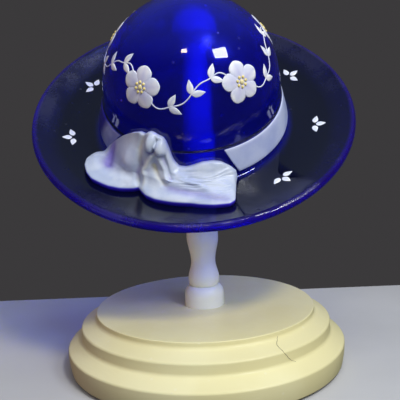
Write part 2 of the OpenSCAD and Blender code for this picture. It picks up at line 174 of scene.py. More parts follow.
def on_circle(angle, r, h):
    """The point at an angle round an axis, r from it and h along it."""
    a = np.radians(angle)
    return np.stack(np.broadcast_arrays(r * np.sin(a), -r * np.cos(a), h), -1)


def ramp(x, start, stretch):
    """0 before a start, growing evenly to 1 over a stretch, which is negative to grow the other way."""
    return np.clip((x - start) / stretch, 0, 1)


# Mesh makers

def grid_faces(rows, cols, wrap_rows=False):
    """Quads of a grid numbered row by row, whose last column joins the first, and its rows too if asked."""
    i, j = np.meshgrid(np.arange(rows if wrap_rows else rows - 1), np.arange(cols), indexing="ij")
    n, k = (i + 1) % rows, (j + 1) % cols
    return np.stack([i * cols + j, i * cols + k, n * cols + k, n * cols + j], -1).reshape(-1, 4)


def tube(grid, closed=False):
    """A skin over rows of loops. Its two end loops are closed by one face each, or joined if closed."""
    rows, cols = grid.shape[:2]
    blocks = [grid_faces(rows, cols, closed)]
    if not closed:
        loop = np.arange(cols)[None, :]
        blocks += [loop[:, ::-1], (rows - 1) * cols + loop]
    return grid.reshape(-1, 3), blocks


def lathe(profile, segments):
    """A profile of r and z carried round the axis. Its first and last points lie on it and become poles."""
    a = 360 * np.arange(segments) / segments
    r, z = profile[1:-1].T
    rings = on_circle(a[None, :], r[:, None], z[:, None])
    rows, j = len(r), np.arange(segments)
    k = (j + 1) % segments
    start, end = np.full(segments, rows * segments), np.full(segments, rows * segments + 1)
    last = (rows - 1) * segments
    points = np.concatenate([rings.reshape(-1, 3), [[0, 0, profile[0, 1]], [0, 0, profile[-1, 1]]]])
    blocks = [grid_faces(rows, segments), np.stack([start, k, j], -1),
              np.stack([end, last + j, last + k], -1)]
    return points, blocks


def joined(parts):
    """Several skins as one: each part's point numbers are shifted past those before it."""
    shifts = np.cumsum([0] + [len(p) for p, _ in parts[:-1]])
    return (np.concatenate([p for p, _ in parts]),
            [block + shift for shift, (_, blocks) in zip(shifts, parts) for block in blocks])


def outwards(points, blocks):
    """Faces turned so that their signed volume, a sum of corner products over fans, is positive."""
    volume = sum(np.einsum("ij,ij->", points[b[:, 0]], np.cross(points[b[:, k]], points[b[:, k + 1]]))
                 for b in blocks for k in range(1, b.shape[1] - 1))
    return blocks if volume > 0 else [b[:, ::-1] for b in blocks]


def add_piece(name, skin, body, slot, material, stands_for=(), **marks):
    """Makes a smooth mesh of a skin, with its marks as point attributes, riding on a body."""
    points, blocks = skin
    blocks = outwards(points, blocks)
    mesh = bpy.data.meshes.new(name)
    mesh.vertices.add(len(points))
    mesh.vertices.foreach_set("co", (points * MM).astype(np.float32).ravel())
    corners = np.concatenate([b.ravel() for b in blocks]).astype(np.int32)
    sizes = np.concatenate([np.full(len(b), b.shape[1]) for b in blocks])
    mesh.loops.add(len(corners))
    mesh.loops.foreach_set("vertex_index", corners)
    mesh.polygons.add(len(sizes))
    mesh.polygons.foreach_set("loop_start", (np.cumsum(sizes) - sizes).astype(np.int32))
    mesh.polygons.foreach_set("use_smooth", np.ones(len(sizes), bool))
    for label, values in marks.items():
        layer = mesh.attributes.new(label, "FLOAT", "POINT")
        layer.data.foreach_set("value", np.broadcast_to(values, len(points)).astype(np.float32))
    mesh.update(calc_edges=True)
    mesh.validate()
    piece = bpy.data.objects.new(name, mesh)
    bpy.context.scene.collection.objects.link(piece)
    mesh.materials.append(material)
    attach(piece, body)
    if stands_for:
        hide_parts(*stands_for)
    return piece


# Node helpers

def noise(nodes, links, vector, scale, detail=3.0, roughness=0.55):
    """Cloudy values from 0 to 1 over the vector."""
    tex = nodes.new("ShaderNodeTexNoise")
    tex.inputs["Scale"].default_value = scale
    tex.inputs["Detail"].default_value = detail
    tex.inputs["Roughness"].default_value = roughness
    links.new(vector, tex.inputs["Vector"])
    return tex.outputs[0]


def spread(nodes, links, value, low, high, to_low=0.0, to_high=1.0):
    """A value's range from low to high, laid smoothly over another range."""
    node = nodes.new("ShaderNodeMapRange")
    node.interpolation_type = "SMOOTHSTEP"
    for name, number in (("From Min", low), ("From Max", high), ("To Min", to_low), ("To Max", to_high)):
        node.inputs[name].default_value = number
    links.new(value, node.inputs["Value"])
    return node.outputs["Result"]


def between(nodes, links, amount, at_none, at_full):
    """An amount of 0 to 1 laid smoothly over two values."""
    return spread(nodes, links, amount, 0.0, 1.0, at_none, at_full)


def blend(nodes, links, amount, a, b):
    """Colour a going to colour b with the amount. A colour is a socket or three numbers."""
    node = nodes.new("ShaderNodeMix")
    node.data_type = "RGBA"
    links.new(amount, node.inputs[0])
    for socket, colour in ((node.inputs[6], a), (node.inputs[7], b)):
        if isinstance(colour, bpy.types.NodeSocket):
            links.new(colour, socket)
        else:
            socket.default_value = (*colour, 1)
    return node.outputs[2]


def sums(nodes, links, how, a, b):
    """Two values put together as the name says. Each is a socket or a number."""
    node = nodes.new("ShaderNodeMath")
    node.operation = how
    for socket, value in zip(node.inputs, (a, b)):
        if isinstance(value, bpy.types.NodeSocket):
            links.new(value, socket)
        else:
            socket.default_value = value
    return node.outputs[0]


def bump(nodes, links, height, depth, strength=1.0):
    """A normal from a height between 0 and 1 that stands for a depth in millimetres."""
    node = nodes.new("ShaderNodeBump")
    node.inputs["Strength"].default_value = strength
    node.inputs["Distance"].default_value = depth * MM
    links.new(height, node.inputs["Height"])
    return node.outputs["Normal"]


def effect(name, inputs, outputs):
    """An empty node group with these named inputs and outputs, and its two end nodes."""
    tree = bpy.data.node_groups.new(name, "ShaderNodeTree")
    for label, kind, value in inputs:
        socket = tree.interface.new_socket(label, in_out="INPUT", socket_type=kind)
        if value is not None:
            socket.default_value = value
    for label in outputs:
        tree.interface.new_socket(label, in_out="OUTPUT", socket_type="NodeSocketFloat")
    return tree, tree.nodes.new("NodeGroupInput"), tree.nodes.new("NodeGroupOutput")


def mottle_group():
    """Soft cloudiness: one noise at the given scale, with its middle stretched over 0 to 1."""
    tree, source, out = effect("mottle", [("Vector", "NodeSocketVector", None),
                                          ("Scale", "NodeSocketFloat", 50.0)], ["Amount"])
    tex = tree.nodes.new("ShaderNodeTexNoise")
    tex.inputs["Detail"].default_value = 4.0
    tree.links.new(source.outputs["Vector"], tex.inputs["Vector"])
    tree.links.new(source.outputs["Scale"], tex.inputs["Scale"])
    tree.links.new(spread(tree.nodes, tree.links, tex.outputs[0], 0.36, 0.64), out.inputs["Amount"])
    return tree


def specks_group():
    """Scattered small specks: round spots in those cells of a random pattern that fall under the cover."""
    tree, source, out = effect("specks", [("Vector", "NodeSocketVector", None),
                                          ("Scale", "NodeSocketFloat", 300.0),
                                          ("Cover", "NodeSocketFloat", 0.2)], ["Amount"])
    cells = tree.nodes.new("ShaderNodeTexVoronoi")
    tree.links.new(source.outputs["Vector"], cells.inputs["Vector"])
    tree.links.new(source.outputs["Scale"], cells.inputs["Scale"])
    spot = spread(tree.nodes, tree.links, cells.outputs["Distance"], 0.24, 0.10)
    parts = tree.nodes.new("ShaderNodeSeparateColor")
    tree.links.new(cells.outputs["Color"], parts.inputs[0])
    kept = sums(tree.nodes, tree.links, "LESS_THAN", parts.outputs[0], source.outputs["Cover"])
    tree.links.new(sums(tree.nodes, tree.links, "MULTIPLY", spot, kept), out.inputs["Amount"])
    return tree


mottle = mottle_group()
specks = specks_group()


def use(nodes, links, group, vector, **values):
    """Places a shared effect on a vector with its own values, and gives its amount."""
    node = nodes.new("ShaderNodeGroup")
    node.node_tree = group
    links.new(vector, node.inputs["Vector"])
    for name, value in values.items():
        node.inputs[name].default_value = value
    return node.outputs["Amount"]


def mark(nodes, name):
    """A piece's own point attribute."""
    node = nodes.new("ShaderNodeAttribute")
    node.attribute_name = name
    return node.outputs["Fac"]


def start_material(name):
    """A material with its Principled shader, and the piece's own coordinates."""
    material = bpy.data.materials.new(name)
    material.use_nodes = True
    nodes, links = material.node_tree.nodes, material.node_tree.links
    where = nodes.new("ShaderNodeTexCoord").outputs["Object"]
    return material, nodes, links, nodes["Principled BSDF"], where


def set_plain(shader, **values):
    """Numbers that are the same all over a surface, on the shader's own sockets."""
    for name, value in values.items():
        shader.inputs[name.replace("_", " ")].default_value = value


# Finishes

def cobalt_glass():
    """Pressed cobalt glass: blue crown, brim tinted dark as painted shade, lip bright as painted light, mould
    waves, pin bubbles, dull rim and inside.

    Light takes on blue by its way inside the glass, and the light in its shadows takes a plain tint.
    """
    material, nodes, links, shader, where = start_material("cobalt_glass")
    set_plain(shader, Transmission_Weight=0.94, IOR=1.5, Metallic=0.0)
    cloud = use(nodes, links, mottle, where, Scale=28.0)
    bubbles = use(nodes, links, specks, where, Scale=190.0, Cover=0.10)
    crown = blend(nodes, links, cloud, (0.015, 0.02, 0.82), (0.03, 0.04, 0.90))
    # Painted shade: the brim is the same glass as the crown, tinted nearly black to stand for the dark room
    # seen through it.
    brim = blend(nodes, links, mark(nodes, "brim"), crown, (0.016, 0.024, 0.10))
    # Painted light: the lip's bright violet stands for light gathered inside the glass and let out at its
    # edge.
    links.new(blend(nodes, links, mark(nodes, "lip"), brim, (0.12, 0.03, 0.90)), shader.inputs["Base Color"])
    rubbed = sums(nodes, links, "MULTIPLY", mark(nodes, "rim"), use(nodes, links, mottle, where, Scale=34.0))
    grain = sums(nodes, links, "MULTIPLY", rubbed, noise(nodes, links, where, scale=1500.0, detail=2.0))
    rough = sums(nodes, links, "MAXIMUM", sums(nodes, links, "MULTIPLY", bubbles, 0.35),
                 sums(nodes, links, "MULTIPLY", grain, 0.8))
    dull = between(nodes, links, mark(nodes, "inside"), 0.015, 0.2)
    links.new(sums(nodes, links, "MAXIMUM", rough, dull), shader.inputs["Roughness"])
    height = sums(nodes, links, "ADD", noise(nodes, links, where, scale=38.0, detail=2.0), grain)
    links.new(bump(nodes, links, height, depth=0.5, strength=0.35), shader.inputs["Normal"])
    body = nodes.new("ShaderNodeVolumeAbsorption")
    body.inputs["Color"].default_value = (0.05, 0.10, 0.95, 1)
    body.inputs["Density"].default_value = 120.0
    through = nodes.new("ShaderNodeBsdfTransparent")
    through.inputs["Color"].default_value = (0.44, 0.55, 0.72, 1)
    mix = nodes.new("ShaderNodeMixShader")
    links.new(nodes.new("ShaderNodeLightPath").outputs["Is Shadow Ray"], mix.inputs[0])
    links.new(shader.outputs[0], mix.inputs[1])
    links.new(through.outputs[0], mix.inputs[2])
    out = nodes["Material Output"]
    links.new(mix.outputs[0], out.inputs["Surface"])
    links.new(body.outputs[0], out.inputs["Volume"])
    return material


def pearl_enamel():
    """Pearl enamel on the moulded bow: white, with painted lilac shade in the hollows, painted cream glints
    in the creases, and bare glass at the foot, made bright as painted glow.
    """
    material, nodes, links, shader, where = start_material("pearl_enamel")
    set_plain(shader, Metallic=0.0, Coat_Roughness=0.2)
    cloud = use(nodes, links, mottle, where, Scale=120.0)
    white = blend(nodes, links, cloud, (0.44, 0.51, 0.66), (0.55, 0.61, 0.72))
    shaded = blend(nodes, links, cloud, (0.17, 0.14, 0.44), (0.24, 0.21, 0.55))
    # Painted shade: the darker lilac goes into the hollows, so that they look shaded.
    paint = blend(nodes, links, between(nodes, links, mark(nodes, "hollow"), 0.0, 1.0), white, shaded)
    patchy = use(nodes, links, mottle, where, Scale=60.0)
    # Painted highlight: cream in the creases stands for glints of light caught in the folds.
    cream = sums(nodes, links, "MULTIPLY", mark(nodes, "crease"), patchy)
    paint = blend(nodes, links, cream, paint, (0.72, 0.69, 0.50))
    bare = mark(nodes, "bare")
    # Partly painted light: the foot is bare blue glass, and its bright blue stands for light shining through
    # the glass there.
    links.new(blend(nodes, links, bare, paint, (0.05, 0.025, 0.65)), shader.inputs["Base Color"])
    links.new(between(nodes, links, bare, 0.34, 0.08), shader.inputs["Roughness"])
    links.new(between(nodes, links, cloud, 0.2, 0.4), shader.inputs["Coat Weight"])
    brush = noise(nodes, links, where, scale=900.0)
    links.new(bump(nodes, links, brush, depth=0.12, strength=0.5), shader.inputs["Normal"])
    return material


def band_enamel():
    """Thin lilac-white enamel on the band, cloudy where glass shows through, going over to deep blue as
    painted shade towards the back and the left.
    """
    material, nodes, links, shader, where = start_material("band_enamel")
    set_plain(shader, Metallic=0.0, Coat_Weight=0.4, Coat_Roughness=0.15)
    cloud = use(nodes, links, mottle, where, Scale=75.0)
    thin = use(nodes, links, mottle, where, Scale=180.0)
    paint = blend(nodes, links, cloud, (0.42, 0.49, 0.78), (0.54, 0.61, 0.86))
    paint = blend(nodes, links, mark(nodes, "edge"), paint, (0.56, 0.60, 0.84))
    # Painted shade: deep blue on the band's side away from the lights.
    paint = blend(nodes, links, mark(nodes, "deep_blue"), paint, (0.03, 0.02, 0.34))
    links.new(paint, shader.inputs["Base Color"])
    links.new(between(nodes, links, thin, 0.28, 0.42), shader.inputs["Roughness"])
    links.new(bump(nodes, links, thin, depth=0.1, strength=0.3), shader.inputs["Normal"])
    return material


def painted_enamel():
    """Fine brush painting: white, shaded towards each stroke's middle, with yellow hearts in the blossoms."""
    material, nodes, links, shader, where = start_material("painted_enamel")
    set_plain(shader, Metallic=0.0, Coat_Weight=0.3)
    cloud = use(nodes, links, mottle, where, Scale=260.0)
    white = blend(nodes, links, cloud, (0.74, 0.79, 0.90), (0.90, 0.91, 0.93))
    paint = blend(nodes, links, mark(nodes, "shade"), white, (0.50, 0.50, 0.78))
    paint = blend(nodes, links, mark(nodes, "heart"), paint, (0.83, 0.70, 0.26))
    links.new(paint, shader.inputs["Base Color"])
    links.new(between(nodes, links, cloud, 0.30, 0.5), shader.inputs["Roughness"])
    brush = noise(nodes, links, where, scale=1600.0)
    links.new(bump(nodes, links, brush, depth=0.08, strength=0.4), shader.inputs["Normal"])
    return material


def painted_wood(name, pale, deep, dusty):
    """Satin paint on turned wood: faint turning lines round the axis, soft mottling and specks of dust."""
    material, nodes, links, shader, where = start_material(name)
    set_plain(shader, Metallic=0.0)
    stretched = nodes.new("ShaderNodeMapping")
    stretched.inputs["Scale"].default_value = (0.12, 0.12, 1.0)
    links.new(where, stretched.inputs["Vector"])
    cloud = use(nodes, links, mottle, where, Scale=22.0)
    fine = use(nodes, links, mottle, where, Scale=240.0)
    dust = use(nodes, links, specks, where, Scale=260.0, Cover=0.12)
    lines = noise(nodes, links, stretched.outputs["Vector"], scale=1400.0, detail=2.0)
    paint = blend(nodes, links, cloud, pale, deep)
    paint = blend(nodes, links, sums(nodes, links, "MULTIPLY", dust, 0.35), paint, dusty)
    links.new(paint, shader.inputs["Base Color"])
    links.new(between(nodes, links, fine, 0.36, 0.46), shader.inputs["Roughness"])
    height = sums(nodes, links, "ADD", lines, sums(nodes, links, "MULTIPLY", fine, 0.08))
    links.new(bump(nodes, links, height, depth=0.12, strength=0.3), shader.inputs["Normal"])
    return material


def dark_crack():
    """Painted shade of a hairline crack: dark as the shade down in the gap, a little lighter where paint has
    crept in.
    """
    material, nodes, links, shader, where = start_material("dark_crack")
    set_plain(shader, Metallic=0.0, Roughness=0.9)
    crept = use(nodes, links, mottle, where, Scale=700.0)
    inside = blend(nodes, links, crept, (0.07, 0.055, 0.035), (0.20, 0.17, 0.10))
    links.new(inside, shader.inputs["Base Color"])
    return material


def wool_felt(name, deep, pale):
    """Pressed wool: matted short fibres in two shades with a soft sheen."""
    material, nodes, links, shader, where = start_material(name)
    set_plain(shader, Metallic=0.0, Roughness=0.95, Sheen_Weight=0.5)
    fibres = noise(nodes, links, where, scale=1300.0, detail=4.0, roughness=0.7)
    wool = blend(nodes, links, spread(nodes, links, fibres, 0.35, 0.65), deep, pale)
    links.new(wool, shader.inputs["Base Color"])
    links.new(bump(nodes, links, fibres, depth=0.6, strength=0.8), shader.inputs["Normal"])
    return material


def plated_steel():
    """Zinc-plated screw steel with drawn streaks and dull spots."""
    material, nodes, links, shader, where = start_material("plated_steel")
    set_plain(shader, Metallic=1.0)
    dull = use(nodes, links, mottle, where, Scale=420.0)
    zinc = blend(nodes, links, dull, (0.66, 0.64, 0.58), (0.48, 0.46, 0.40))
    links.new(zinc, shader.inputs["Base Color"])
    links.new(between(nodes, links, dull, 0.28, 0.5), shader.inputs["Roughness"])
    streaks = noise(nodes, links, where, scale=2400.0)
    links.new(bump(nodes, links, streaks, depth=0.05, strength=0.4), shader.inputs["Normal"])
    return material


# Profiles of the turned and pressed pieces

def arc(r_mid, z_mid, r_half, z_half, start, end, steps=24):
    """Part of an ellipse about a middle, from one angle to another."""
    a = np.radians(np.linspace(start, end, steps + 1))
    return np.stack([r_mid + r_half * np.cos(a), z_mid + z_half * np.sin(a)], -1)


def line(start, end, steps=6):
    """Evenly spaced points from one place to another."""
    s = np.linspace(0, 1, steps + 1)[:, None]
    return np.array(start) * (1 - s) + np.array(end) * s


def ledge(r_out, z_out, r_in, z_in):
    """A step's moulding: a rounded edge, then a ledge that rises to the hollow at the foot of the next wall.

    The ledge touches the edge's circle from above and the hollow's from below, so its slope is that of the
    line between their middles less the angle whose sine is the sum of the radii over that line's length.
    """
    run, rise = r_out - EDGE_R - r_in - COVE_R, z_in - z_out
    slope = math.degrees(math.atan2(rise, run) - math.asin((EDGE_R + COVE_R) / math.hypot(run, rise)))
    edge = arc(r_out - EDGE_R, z_out, EDGE_R, EDGE_R, 0, 90 - slope, 12)
    cove = arc(r_in + COVE_R, z_in, COVE_R, COVE_R, 270 - slope, 180, 12)
    return np.concatenate([edge, line(edge[-1], cove[0])[1:-1], cove])


def base_profile():
    """The base from its underside's middle: side drawn in at its foot, two ledges with walls, flat top."""
    s = np.linspace(0, 1, 20)
    side = np.stack([BASE_R - SIDE_BULGE * (1 - s) ** 2, FELT_T + (SIDE_TOP_Z - FELT_T) * s], -1)
    top = PLATE_Z - PLATE_EDGE_R
    return np.concatenate([line((0, FELT_T), (side[0, 0] - FOOT_EDGE, FELT_T)), side[:-1],
                           ledge(BASE_R, SIDE_TOP_Z, STEP_R, STEP_Z - STEP_WALL),
                           ledge(STEP_R, STEP_Z, PLATE_R, PLATE_Z - PLATE_WALL),
                           arc(PLATE_R - PLATE_EDGE_R, top, PLATE_EDGE_R, PLATE_EDGE_R, 0, 90, 8),
                           line((PLATE_R - 2 * PLATE_EDGE_R, PLATE_Z), (0, PLATE_Z), 16)])


def turned(z0, r0, z1, r1):
    """A turned line between two radii: half a cosine wave, upright at both ends."""
    s = np.linspace(0, 1, 25)
    return np.stack([r0 + (r1 - r0) * (1 - np.cos(np.pi * s)) / 2, z0 + (z1 - z0) * s], -1)


def spindle_profile():
    """The spindle from inside the base: ring, groove, bell, neck, long column, waist and round knob."""
    groove_z = PLATE_Z + RING_H
    bell_z = groove_z + BELL_ROUND
    neck_z = bell_z + NECK_RISE
    column_z = neck_z + COLUMN_RISE
    waist_z = KNOB_Z - WAIST_DROP
    taper_z = waist_z - TAPER_DROP
    shoulder_z = groove_z - SHOULDER_H
    knob_foot = math.degrees(math.acos(WAIST_R / KNOB_R))
    knob_low = KNOB_Z - math.sqrt(KNOB_R ** 2 - WAIST_R ** 2)
    return np.concatenate([[[0, PLATE_Z - FOOT_SUNK], [RING_R - FOOT_EDGE_IN, PLATE_Z - FOOT_SUNK]],
                           line((RING_R, PLATE_Z), (RING_R, shoulder_z)),
                           arc(GROOVE_R, shoulder_z, RING_R - GROOVE_R, SHOULDER_H, 0, 90)[1:],
                           arc(GROOVE_R, bell_z, BELL_R - GROOVE_R, BELL_ROUND, -90, 0)[1:],
                           turned(bell_z, BELL_R, neck_z, NECK_R)[1:],
                           turned(neck_z, NECK_R, column_z, COLUMN_R)[1:],
                           turned(column_z, COLUMN_R, taper_z, TAPER_R)[1:],
                           turned(taper_z, TAPER_R, waist_z, WAIST_R)[1:],
                           line((WAIST_R, waist_z), (WAIST_R, knob_low))[1:],
                           arc(0, KNOB_Z, KNOB_R, KNOB_R, -knob_foot, 90, 36)[1:]])


def side_r(h):
    """Radius of the crown's outside: the dome's circle above h 0, below it wider by a power of the depth."""
    depth = np.clip(-h / SIDE_H, 0, None)
    dome = np.sqrt(np.clip(DOME_R ** 2 - np.clip(h, 0, None) ** 2, 0, None))
    return dome + (CROWN_BASE_R - DOME_R) * depth ** SIDE_CURVE


def brim_face(t, way):
    """A point of the brim's upper (1) or lower (-1) face: its middle line rises with a power of t, and the
    face lies half the glass away, square to that line."""
    t = np.asarray(t, float)
    slope = np.arctan(BRIM_RISE * BRIM_CURVE * t ** (BRIM_CURVE - 1) / BRIM_RUN)
    return np.stack([ROOT_R + BRIM_RUN * t - way * LIP_R * np.sin(slope),
                     ROOT_H + BRIM_RISE * t ** BRIM_CURVE + way * LIP_R * np.cos(slope)], -1)


def glass_profile():
    """The glass from the dome's outer top down the side, over the brim, round the lip and back inside."""
    t = np.linspace(0, 1, 49)
    heights = np.linspace(0, -SIDE_H, 25)
    outside = np.stack([side_r(heights), heights], -1)
    slope = math.degrees(math.atan(BRIM_RISE * BRIM_CURVE / BRIM_RUN))
    bend = GLASS_T + ROOT_ROUND
    inner = arc(ROOT_R, BEND_H, bend, bend, 270, 180 + SIDE_LEAN, 14)
    return np.concatenate([arc(0, 0, DOME_R, DOME_R, 90, 0, 56), outside[1:],
                           arc(ROOT_R, BEND_H, ROOT_ROUND, ROOT_ROUND, 180 + SIDE_LEAN, 270, 14)[1:],
                           brim_face(t, 1)[1:],
                           arc(BRIM_R - LIP_R, -RIM_DROP, LIP_R, LIP_R, 90 + slope, slope - 90, 20)[1:-1],
                           brim_face(t[::-1], -1)[:-1], inner,
                           line(inner[-1], (DOME_IN_R, 0), 14)[1:],
                           arc(0, 0, DOME_IN_R, DOME_IN_R, 0, 90, 48)[1:]])


def glass_marks(profile, segments):
    """How much each point of the glass belongs to the brim, its rim, its lip's outside and the hat's inside.

    The brim and the rim go by the radius. The lip starts where its rounding leaves the upper face and ends
    under the brim by the radius. The inside comes after the lip and lies within the crown's foot.
    """
    r = profile[:, 0]
    past = np.arange(len(profile)) - np.argmax(r)
    marks = {"brim": ramp(r, CROWN_BASE_R, CROWN_BLEND),
             "rim": ramp(r, BRIM_R - RIM_WIDTH, RIM_BLEND),
             "lip": np.minimum(ramp(past, -LIP_STEPS, LIP_STEP_BLEND),
                               ramp(r, BRIM_R - LIP_WIDTH, LIP_BLEND)),
             "inside": np.minimum(ramp(past, INSIDE_STEPS, INSIDE_STEP_BLEND),
                                  ramp(r, CROWN_BASE_R, -CROWN_BLEND))}
    poles = {name: [0, 1.0 * (name == "inside")] for name in marks}
    return {name: np.concatenate([np.repeat(values[1:-1], segments), poles[name]])
            for name, values in marks.items()}


# Moulded and painted ornament on the glass

def glass_seat(s):
    """The glass along the way s from the middle of the bend: side above it, brim below it."""
    up = np.clip(s - HALF_BEND, 0, None) - SIDE_H
    side = np.stack([side_r(up), up], -1)
    brim = brim_face(np.clip((-s - HALF_BEND) / BRIM_RUN, 0, None), 1)
    a = np.radians(SIDE_LEAN + HALF_TURN * (1 - np.clip(s / HALF_BEND, -1, 1)))
    bend = np.stack([ROOT_R - ROOT_ROUND * np.cos(a), BEND_H - ROOT_ROUND * np.sin(a)], -1)
    place = np.where(s[..., None] > HALF_BEND, side, bend)
    return np.where(s[..., None] < -HALF_BEND, brim, place)


def hill(x, y, at_x, at_y, half_x, half_y):
    """A smooth hill of height 1 about a middle."""
    return np.exp(-((x - at_x) / half_x) ** 2 - ((y - at_y) / half_y) ** 2)


def knot(x, y, at_x, at_y, half_x, half_y):
    """The upper half of a ball of height 1, the root of one less the squared distance from its middle, with a
    groove like a bell round its foot."""
    far = np.hypot((x - at_x) / half_x, (y - at_y) / half_y)
    groove = KNOT_GROOVE * np.exp(-((far - KNOT_GROOVE_AT) / KNOT_GROOVE_W) ** 2)
    return np.sqrt(np.clip(1 - far ** 2, 0, 1)) - groove


def near(a, s, width, corners):
    """How close a place is to a path of corners: 1 on it, falling off like a bell over the width."""
    place = np.stack([a * DEGREE_WAY, s], -1)
    corners = np.array(corners) * [DEGREE_WAY, 1]
    far = np.inf
    for start, end in zip(corners, corners[1:]):
        along = end - start
        share = np.clip((place - start) @ along / (along @ along), 0, 1)[..., None]
        far = np.minimum(far, np.linalg.norm(place - start - share * along, axis=-1))
    return np.exp(-(far / width) ** 2)


def evened(field, rounds):
    """A field mixed with its neighbours over and over: half itself and half the mean of the four."""
    for _ in range(rounds):
        wide = np.pad(field, 1, mode="edge")
        field = (wide[:-2, 1:-1] + wide[2:, 1:-1] + wide[1:-1, :-2] + wide[1:-1, 2:] + 4 * field) / 8
    return field


def along_paths(a, s, paths):
    """The sum of paths, each times its rise."""
    return sum(rise * near(a, s, width, corners) for rise, width, corners in paths)


def ripple(a, s, high, per_degree, per_mm, shift=0.0):
    """A sine of a given height, whose phase grows with the angle and with the way."""
    return high * np.sin(per_degree * a + per_mm * s + shift)


def bow_swell(a, s):
    """How far the bow stands over its edge's thickness at angle a and way s, well inside its edges.

    A ribbon that bridges the bend like a bell, plus the knots, hills and paths, each times its rise. Streaks
    on the tail and a broad ripple on the loop are sines whose phase wanders, and each streak comes and goes.
    """
    body = BOW_T + BOW_BRIDGE * np.exp(-(s / BRIDGE_W) ** 2)
    lumps = (sum(rise * knot(a, s, *place) for rise, *place in KNOTS)
             + sum(rise * hill(a, s, *place) for rise, *place in HILLS))
    wander = sum(ripple(a, s, *broad) for broad in WANDER)
    streaks = sum(ripple(a, s, *fine, sway * wander) * (1 - fade[0] + ripple(a, s, *fade))
                  for sway, fine, fade in STREAKS)
    drawn = ripple(a, s, *LOOP_RIPPLE, LOOP_WANDER * wander)
    return (body + lumps + along_paths(a, s, PATHS) + ramp(a, TAIL_FROM, TAIL_BLEND) * streaks
            + ramp(a, LOOP_TO, -LOOP_WAVE_BLEND) * drawn)


def bow_skin():
    """Front and back of the bow as loops across the ribbon, with each point's share of painted shade, of
    painted cream glint and of bare glass.

    Towards its edges the swell falls off by powers of sines, more softly on the loop's upper half. Inside
    them the front follows the glass averaged over a way to each side, so that it runs smoothly over the bend.
    Painted shade goes where the relief lies under its broad average, and the enamel is bare at the lower
    edge.
    """
    col, row = np.linspace(0, 1, BOW_COLS), np.linspace(0, 1, BOW_ROWS)
    a = BOW_LOW[0, 0] + (BOW_LOW[-1, 0] - BOW_LOW[0, 0]) * col
    low, high = np.interp(a, *BOW_LOW.T), np.interp(a, *BOW_HIGH.T)
    low = evened(np.tile(low[:, None], 2), LOW_ROUNDS)[:, 0]
    high = evened(np.tile(high[:, None], 2), HIGH_ROUNDS)[:, 0]
    a, e = a[:, None] + 0 * row, row + 0 * col[:, None]
    s = low[:, None] * (1 - e) + high[:, None] * e
    fall = EDGE_FALL + LOOP_FALL * ramp(a, LOOP_TO, -LOOP_FALL_BLEND) * (e > 0.5)
    across, ends = np.sin(np.pi * e), np.sin(np.pi * col[:, None])
    inside = np.clip(across, 0, 1) ** fall * np.clip(ends, 0, 1) ** END_FALL
    relief = evened(BOW_EDGE + inside * bow_swell(a, s), RELIEF_ROUNDS)
    lean = np.radians(LEAN_MID - LEAN_SWING * s / np.hypot(s, LEAN_WAY))
    out = np.stack([np.cos(lean), np.sin(lean)], -1)
    seat = glass_seat(s)
    eased = np.mean([glass_seat(s + way) for way in np.linspace(-BOW_EASE, BOW_EASE, EASE_STEPS)], 0)
    front = seat + inside[..., None] * (eased - seat) + out * relief[..., None]
    back = seat - BOW_SINK * out
    loops = np.concatenate([on_circle(a, front[..., 0], front[..., 1]),
                            on_circle(a, back[..., 0], back[..., 1])[:, ::-1]], 1)
    # Painted shade: where the relief lies low, along the loop's streak and the tail's facet, and on the
    # loop's middle.
    dip = ramp(evened(relief, BROAD_ROUNDS) - relief, 0, DIP_FULL) * ramp(inside, DIP_FROM, DIP_BLEND)
    share, *place = SHADE_LOOP
    hollow = SHADE_ALL + SHADE_DIP * dip + share * hill(a, s, *place) + along_paths(a, s, SHADE_PATHS)
    fronts = {"hollow": np.clip(hollow, 0, 1), "crease": np.clip(along_paths(a, s, GLINT_PATHS), 0, 1),
              "bare": ramp(e, BOW_BARE, -BOW_BARE)}
    backs = {"hollow": 0 * e, "crease": 0 * e, "bare": 1.0 * (e[:, ::-1] < 0.5)}
    return tube(loops), {name: np.concatenate([fronts[name], backs[name]], 1).ravel() for name in fronts}


def band_skin():
    """The band as rounded cross-sections carried round the crown, with both ends cut on the slant.

    Each point has how near it is to the top edge, and its share of painted shade, deep blue away from both
    ends.
    """
    turn = np.radians(np.linspace(0, 360, 36, endpoint=False))
    v = 0.5 - 0.5 * np.sign(np.sin(turn)) * np.abs(np.sin(turn)) ** BAND_SQUARE
    rise = 0.5 + 0.5 * np.sign(np.cos(turn)) * np.abs(np.cos(turn)) ** BAND_FLAT
    along = np.linspace(0, 1, 360)[:, None]
    begin = BAND_FROM_TOP + (BAND_FROM_LOW - BAND_FROM_TOP) * v
    end = BAND_TO_TOP + (BAND_TO_LOW - BAND_TO_TOP) * v
    a = begin + (end - begin) * along
    h = BAND_TOP_H - BAND_H * v
    r = side_r(h) - BAND_SINK + BAND_T * rise + BAND_CROWN * np.sin(np.pi * v) * (rise > 0.5)
    edge = ramp(v, BAND_EDGE, -BAND_EDGE) + 0 * a
    kept = ramp(a + DEEP_SLANT * v, DEEP_TO, -DEEP_END_BLEND)
    deep_blue = ramp(a, DEEP_FROM, DEEP_BLEND) * (1 + kept) / 2
    return tube(on_circle(a, r, h)), {"edge": edge.ravel(), "deep_blue": deep_blue.ravel()}


def rope_skin():
    """A thin rope round the crown: a circle whose radius swells with a twist along the way."""
    along = np.linspace(0, 1, ROPE_STRANDS * 8)[:, None]
    turn = np.radians(np.linspace(0, 360, 10, endpoint=False))
    a = ROPE_FROM + (ROPE_TO - ROPE_FROM) * along
    twist = np.pi * ROPE_STRANDS * along + ROPE_TWIST * turn
    r = ROPE_R * (ROPE_THIN + ROPE_SWELL * np.abs(np.sin(twist)))
    return tube(on_circle(a, side_r(np.array(ROPE_H)) + r * np.cos(turn), ROPE_H + r * np.sin(turn)))


